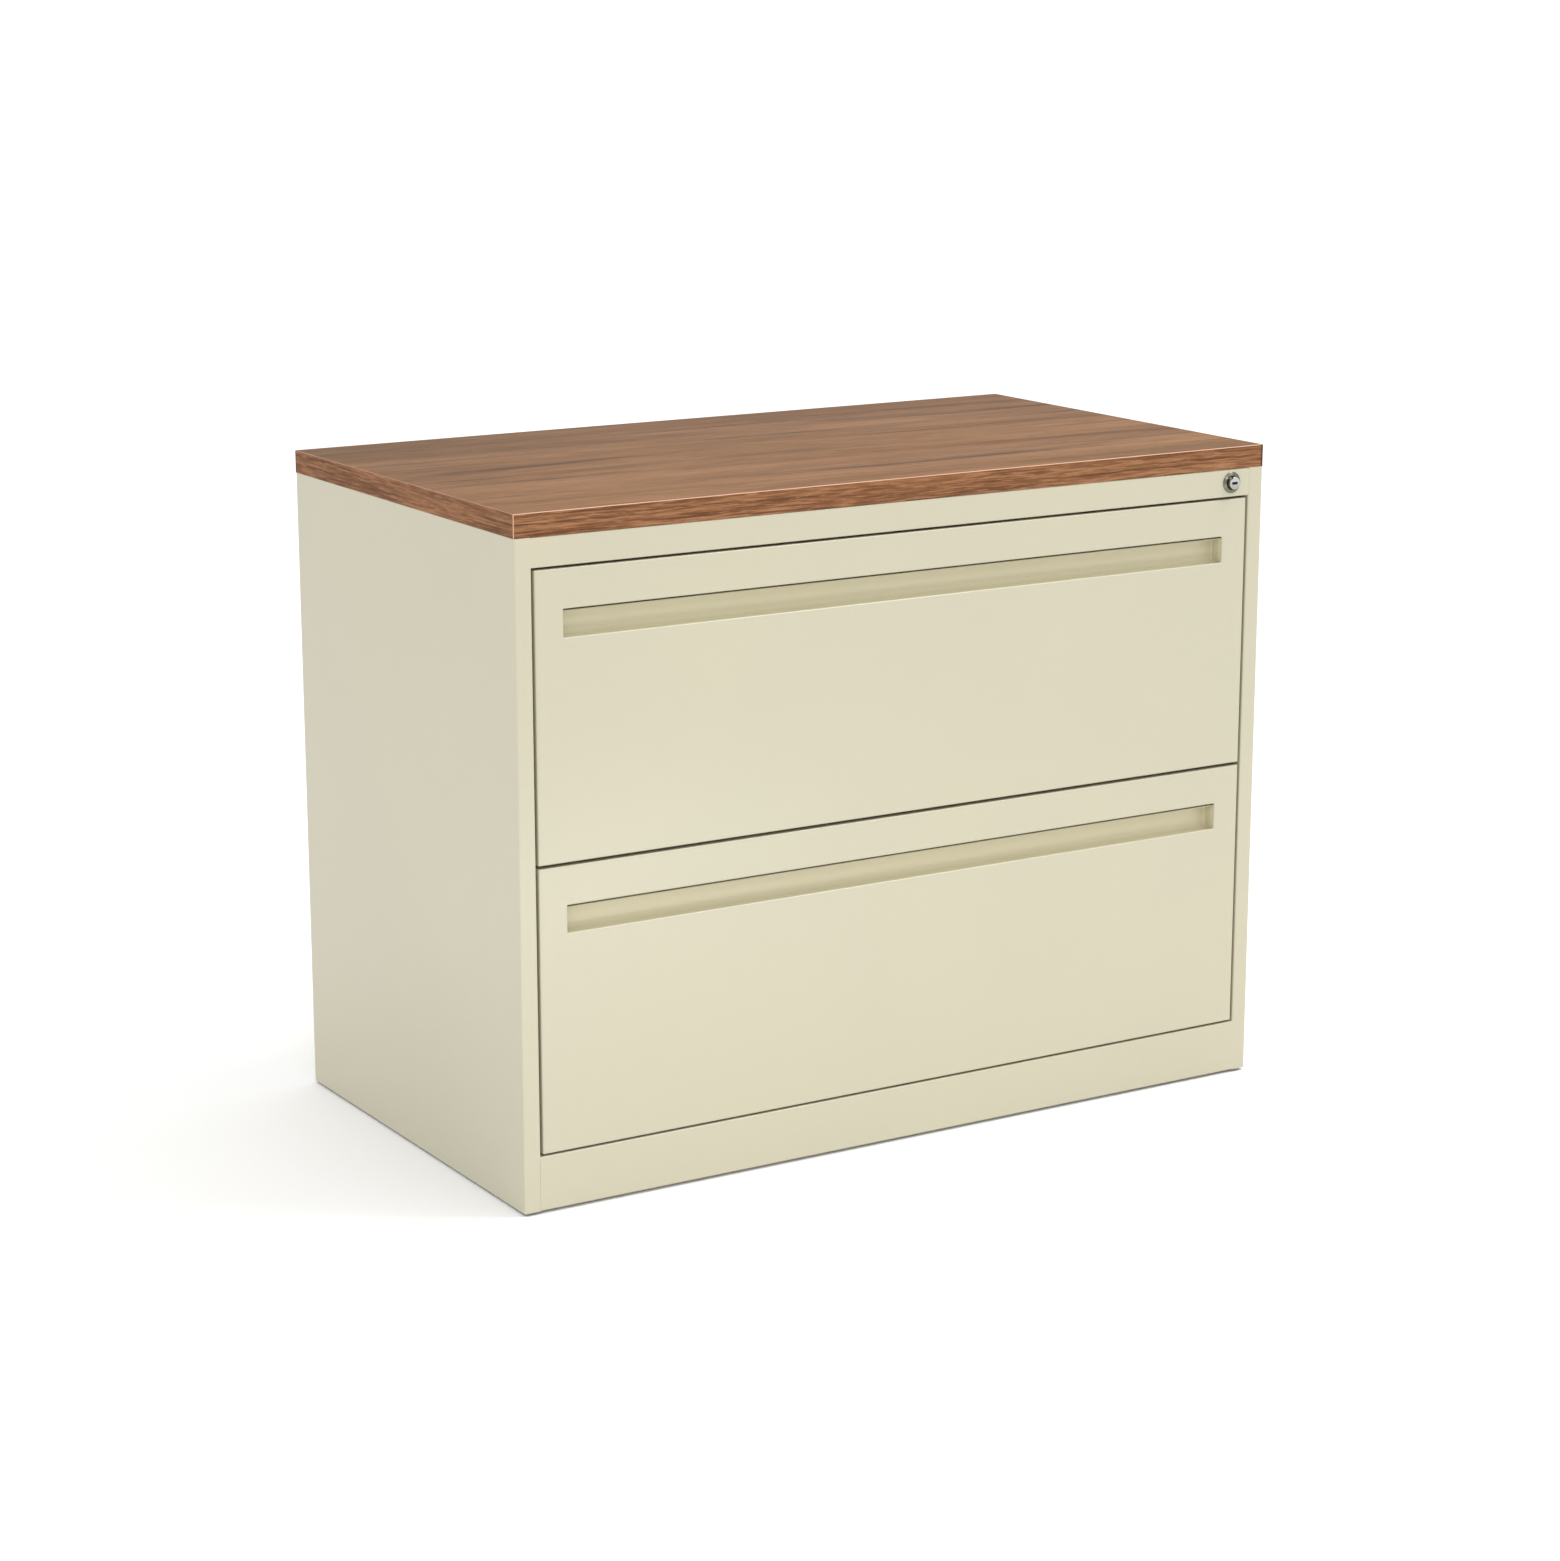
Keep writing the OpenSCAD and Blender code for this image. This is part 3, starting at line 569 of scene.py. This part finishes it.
def pull_pocket(row):
    """A pressed pocket behind the recess, open to the front, with a scooped bottom behind the lip."""
    top = DRAWER_Z[row] + PULL_TOP
    low = top - PULL_H - 3.0
    inner, scoop = 2.4, 11.0

    def wall(grow, depth):
        """The pocket's outline at a depth, grown outwards by grow."""
        past = max(depth - (PULL_DEPTH - scoop), 0.0)
        rise = scoop - math.sqrt(max((scoop + grow) ** 2 - past ** 2, 0.0)) if past else -grow
        tight = inner + grow - math.sqrt(max((inner + grow) ** 2 - max(depth - PULL_DEPTH + inner, 0.0) ** 2, 0.0))
        across = PULL_HALF + grow - tight
        return rect_loop(-across, across, low + min(rise, 10.0), top - 2.6 + grow - tight, 1.6, depth)

    depths = [2.5, 7.0, 9.0, 11.0, 12.6, 14.0, 15.2, 16.2, 17.0, 17.5, 17.85]
    loops = [wall(0.0, d) for d in depths[::-1]]
    loops += [wall(SHEET, d) for d in depths] + [wall(SHEET, 18.4), wall(SHEET, 18.8)]
    pocket = Shape()
    pocket.loft(loops, caps=True)
    pocket.make(f"{row}_pull", f"{row}_drawer", "pocket_painted_light", f"{row}_pull_pocket", slot="putty_paint", bevel=0.0)


for row in DRAWER_Z:
    drawer_front(row)
    pull_pocket(row)


# ---------- finishes of the CAD pieces that show as they are ----------

FINISHES = {
    "inner_paint": ("case_top_panel", "case_floor_pan", "_uprights", "_front_liner", "_tub_"),
    "bare_steel": ("corner_gussets", "_hang_rails", "_lock_catch", "lock_bar", "lock_hooks", "_slide_middle",
                   "_slide_outer", "_slide_inner", "_glide", "lock_bar_guides"),
    "bright_steel": ("_screws", "_bolts", "_nuts", "lock_nut", "lock_cam", "_ball_cages"),
    "weight_paint": ("counterweight",),
    "wood_laminate": ("worktop",),
    "rubber": ("_bumpers",),
}
ROUNDING = {"_ball_cages": 0.0, "worktop": 0.1, "_screws": 0.2}


def finish_of(node):
    fits = [(len(part), look) for look, parts in FINISHES.items() for part in parts if part in node]
    return max(fits)[1]


for node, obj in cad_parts.items():
    if obj.hide_render:
        continue
    mesh = obj.data
    mesh.materials.clear()
    mesh.materials.append(LOOKS[finish_of(node)])
    stale = mesh.attributes.get("custom_normal")
    if stale:
        mesh.attributes.remove(stale)
    obj.modifiers.new("weld", "WELD").merge_threshold = 0.00001
    flat = obj.modifiers.new("flat", "DECIMATE")
    flat.decimate_type = "DISSOLVE"
    flat.angle_limit = math.radians(1.0)
    width = next((w for part, w in ROUNDING.items() if part in node), 0.3)
    soften(obj, width)


# ---------- stage, lights and camera ----------

def stage_floor():
    mesh = bpy.data.meshes.new("floor")
    reach = 60.0
    mesh.from_pydata([(-reach, -reach, 0), (reach, -reach, 0), (reach, reach, 0), (-reach, reach, 0)], [],
                     [(0, 1, 2, 3)])
    floor = bpy.data.objects.new("floor", mesh)
    bpy.context.scene.collection.objects.link(floor)
    look = Look("floor", IOR=1.2, Roughness=1.0, Specular_IOR_Level=0.0)
    soft = look.noise(2.0, detail=2.0)
    tone = look.mix(look.span(soft, 0.0, 1.0), (0.820, 0.820, 0.820), (0.835, 0.835, 0.835))
    mesh.materials.append(look.finish(tone))


def light(kind, name, place, target, power, size=None, spread=0.0):
    """A lamp at a place, aimed at a target. size is an area lamp's, and spread is the sun's."""
    data = bpy.data.lights.new(name, kind)
    data.energy = power
    if kind == "SUN":
        data.angle = spread
    else:
        data.shape = "RECTANGLE"
        data.size, data.size_y = size
    lamp = bpy.data.objects.new(name, data)
    bpy.context.scene.collection.objects.link(lamp)
    lamp.visible_camera = False
    lamp.location = place
    lamp.rotation_mode = "QUATERNION"
    lamp.rotation_quaternion = (Vector(target) - Vector(place)).to_track_quat("-Z", "Y")


def studio_world(wall, zenith):
    """Plain white all round, brighter overhead."""
    world = bpy.data.worlds.new("studio")
    world.use_nodes = True
    tree = world.node_tree
    tree.nodes["Background"].inputs["Color"].default_value = (1.0, 1.0, 1.0, 1.0)
    height = tree.nodes.new("ShaderNodeSeparateXYZ")
    tree.links.new(tree.nodes.new("ShaderNodeTexCoord").outputs["Generated"], height.inputs[0])
    level = tree.nodes.new("ShaderNodeMapRange")
    for key, value in (("From Min", 0.45), ("To Min", wall), ("To Max", zenith)):
        level.inputs[key].default_value = value
    tree.links.new(height.outputs["Z"], level.inputs["Value"])
    tree.links.new(level.outputs[0], tree.nodes["Background"].inputs["Strength"])
    bpy.context.scene.world = world


stage_floor()
studio_world(1.0, 1.5)
light("SUN", "key", (-1.8, -3.7, 3.0), (0, 0, 0.3), 0.48, spread=math.radians(14))
light("AREA", "glint", (2.4, -1.2, 4.5), (0.1, -0.2, 0.3), 110, (2.2, 0.9))
light("AREA", "low_left", (-2.2, -2.6, 0.5), (-0.1, -0.3, 0.3), 3, (0.4, 0.9))
light("AREA", "foot", (-0.35, -1.0, 0.1), (-0.2, -0.254, 0.03), 1.4, (1.6, 0.1))
light("AREA", "foot_left", (-1.25, 0.0, 0.1), (-0.457, 0.0, 0.03), 0.25, (1.0, 0.1))

bpy.context.scene.view_settings.view_transform = "Standard"

# The camera looks at a point near the middle of the cabinet, from the photo's angle.
azimuth, elevation = math.radians(-31.507), math.radians(13.413)
DISTANCE, OFF_RIGHT, OFF_UP = 3.9486, -0.0020, -0.0138
back_way = Vector((math.sin(azimuth) * math.cos(elevation), -math.cos(azimuth) * math.cos(elevation),
                   math.sin(elevation)))
right_way = Vector((0, 0, 1)).cross(back_way).normalized()
up_way = back_way.cross(right_way)
camera = bpy.data.objects.new("camera", bpy.data.cameras.new("camera"))
bpy.context.scene.collection.objects.link(camera)
camera.data.sensor_width = 36.0
camera.data.lens = 82.63
camera.data.clip_end = 200.0
camera.location = (Vector((0, 0, TOP * MM / 2)) + back_way * DISTANCE + right_way * OFF_RIGHT
                   + up_way * OFF_UP)
camera.rotation_mode = "QUATERNION"
camera.rotation_quaternion = (-back_way).to_track_quat("-Z", "Y")
bpy.context.scene.camera = camera
